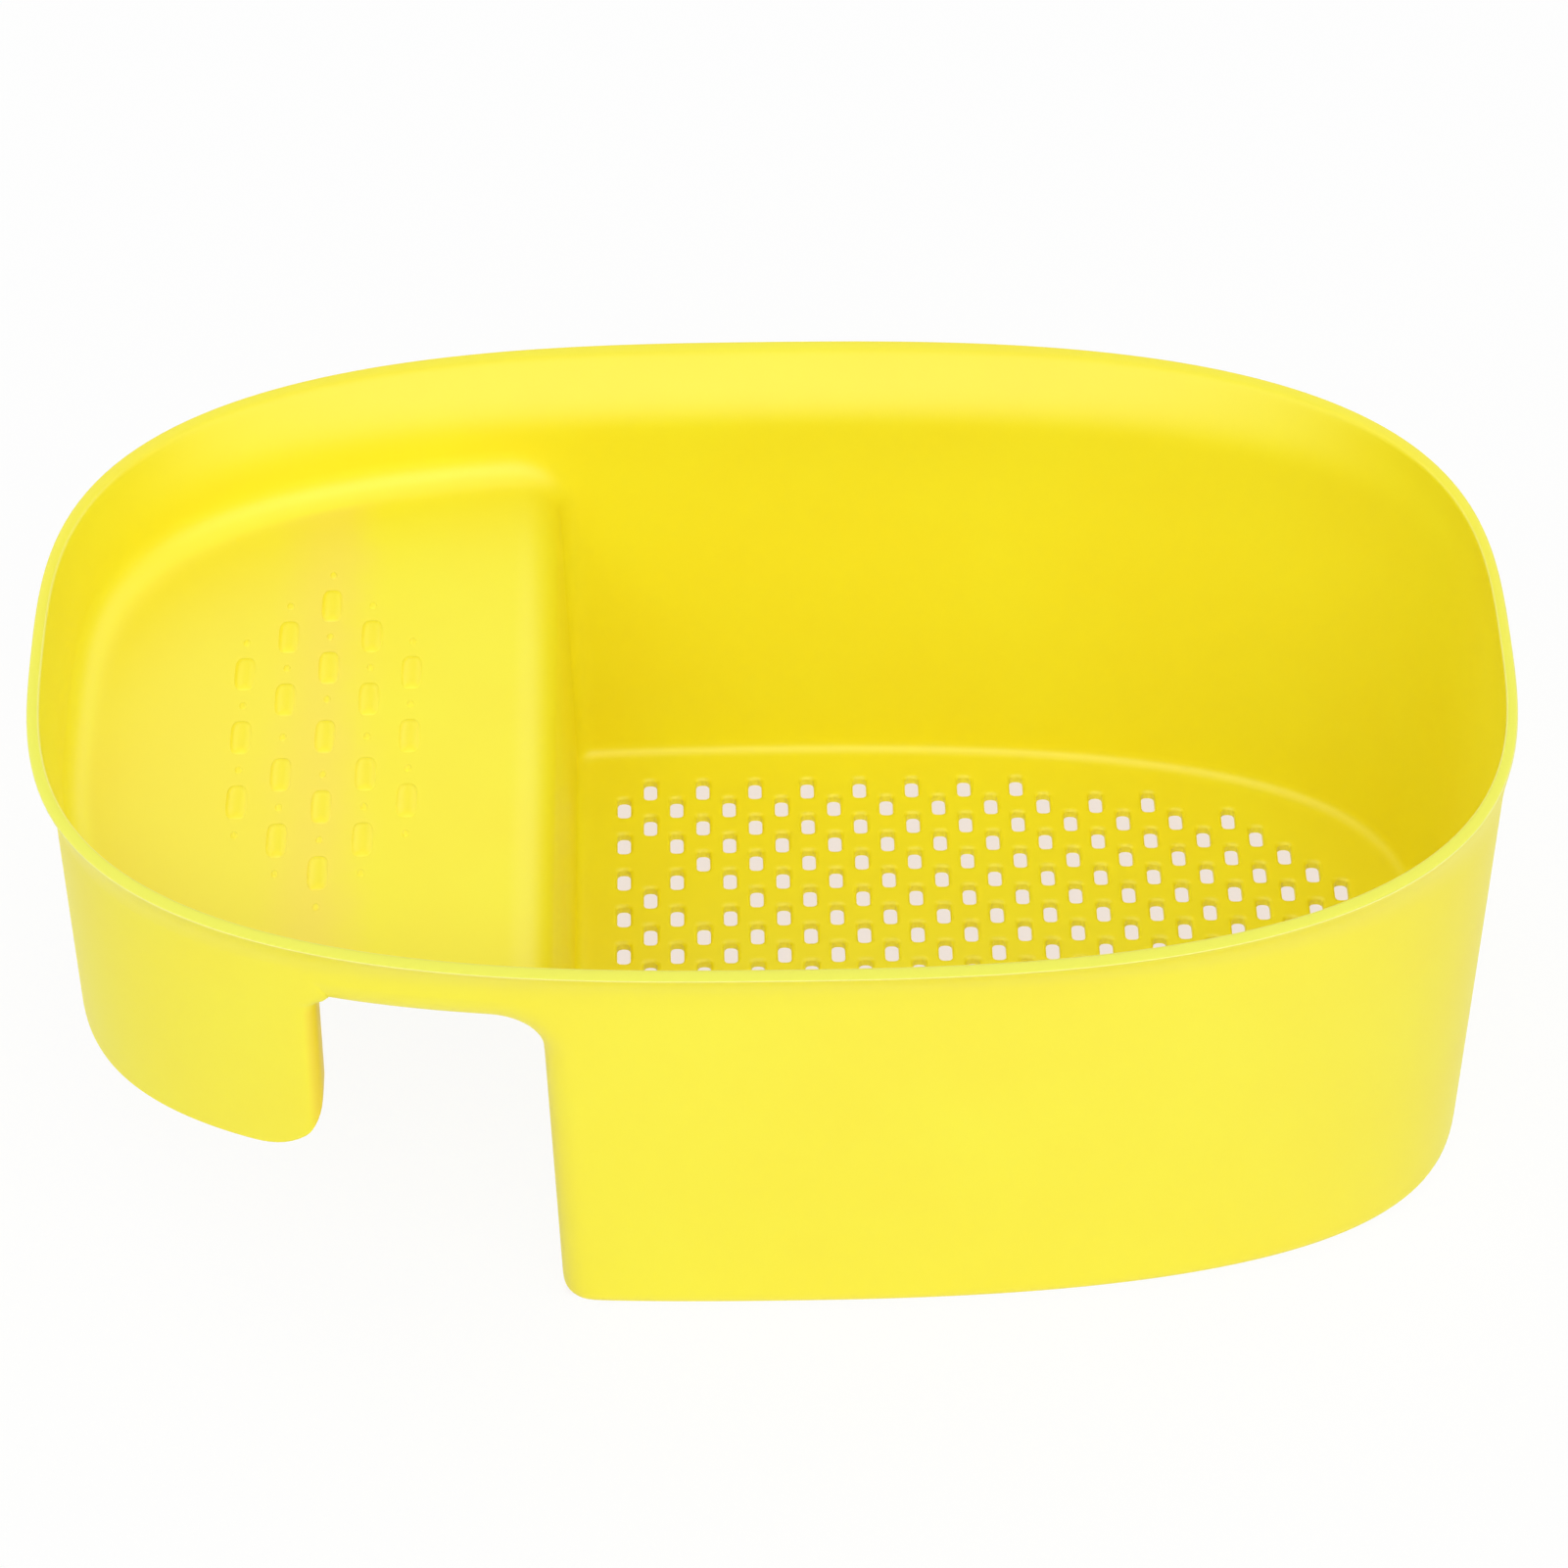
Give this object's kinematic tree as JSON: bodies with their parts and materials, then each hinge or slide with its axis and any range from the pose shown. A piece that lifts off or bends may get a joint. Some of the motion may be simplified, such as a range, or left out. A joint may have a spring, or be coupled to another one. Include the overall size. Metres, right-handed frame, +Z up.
{
  "type": "sink drain basket",
  "caption": "Oval plastic basket with a perforated floor and a raised soap shelf that hooks over the divider of a double sink.",
  "frame": {"origin": "centre of the basket's box in X and Y, at the underside of the strainer floor", "axes": "+X from the soap shelf to the basket's far end, +Y across the basket, +Z up"},
  "size_m": [0.3, 0.1966, 0.106],
  "materials": {
    "polypropylene": "satin yellow moulded polypropylene"
  },
  "bodies": {
    "root": {"rim_band": "polypropylene", "soap_shelf": "polypropylene", "saddle_leg": "polypropylene", "step_wall": "polypropylene", "basket_wall": "polypropylene", "strainer_floor": "polypropylene"}
  },
  "joints": []
}
